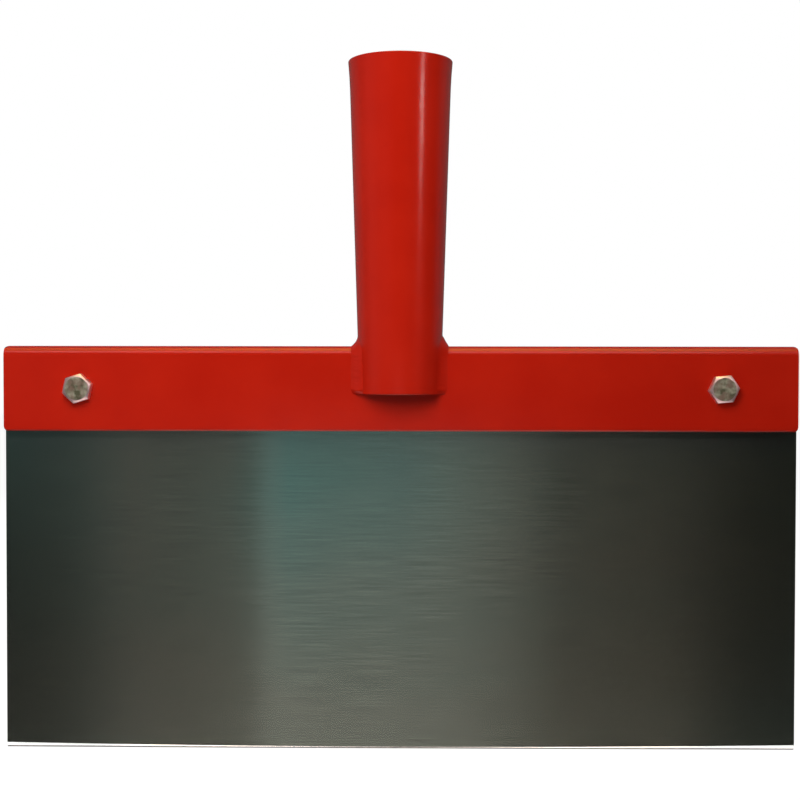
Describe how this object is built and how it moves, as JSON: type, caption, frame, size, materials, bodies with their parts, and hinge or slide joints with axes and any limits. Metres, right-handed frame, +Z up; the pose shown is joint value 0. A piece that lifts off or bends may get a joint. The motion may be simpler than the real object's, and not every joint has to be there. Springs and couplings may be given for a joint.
{
  "type": "floor scraper head",
  "caption": "Wide straight floor scraper head: a spring steel blade bolted into a folded steel holder with a welded tapered handle socket.",
  "frame": {"origin": "middle of the cutting edge, below the socket's axis", "axes": "+X right along the blade, +Y to the back, away from the bolt heads, +Z up towards the handle"},
  "size_m": [0.3, 0.0394, 0.2606],
  "materials": {
    "red_paint": "glossy red enamel",
    "blued_spring_steel": "blued, fine lengthwise grain",
    "zinc_plate": "dull zinc plate"
  },
  "bodies": {
    "head": {"blade": "blued_spring_steel", "holder": "red_paint", "socket": "red_paint", "weld_front_left": "red_paint", "weld_front_right": "red_paint", "weld_back_left": "red_paint", "weld_back_right": "red_paint", "weld_top_left": "red_paint", "weld_top_right": "red_paint", "bolt_left": "zinc_plate", "bolt_right": "zinc_plate"},
    "washer_left": {"lock_washer_left": "zinc_plate"},
    "nut_left": {"nut_left": "zinc_plate"},
    "washer_right": {"lock_washer_right": "zinc_plate"},
    "nut_right": {"nut_right": "zinc_plate"}
  },
  "joints": [
    {"name": "washer_left_slide", "type": "slide", "parent": "head", "child": "washer_left", "axis": [0, 1, 0], "range_m": [0, 0.00675]},
    {"name": "nut_left_turn", "type": "hinge", "parent": "washer_left", "child": "nut_left", "pos_m": [-0.1214, 0.008, 0.1372], "axis": [0, 1, 0], "range_deg": [0, 2432]},
    {"name": "washer_right_slide", "type": "slide", "parent": "head", "child": "washer_right", "axis": [0, 1, 0], "range_m": [0, 0.00675]},
    {"name": "nut_right_turn", "type": "hinge", "parent": "washer_right", "child": "nut_right", "pos_m": [0.1214, 0.008, 0.1372], "axis": [0, 1, 0], "range_deg": [0, 2432]}
  ],
  "couplings": [
    {"joint": "nut_left_turn", "follows": "washer_left_slide", "rad_per_m": 6283.2},
    {"joint": "nut_right_turn", "follows": "washer_right_slide", "rad_per_m": 6283.2}
  ]
}
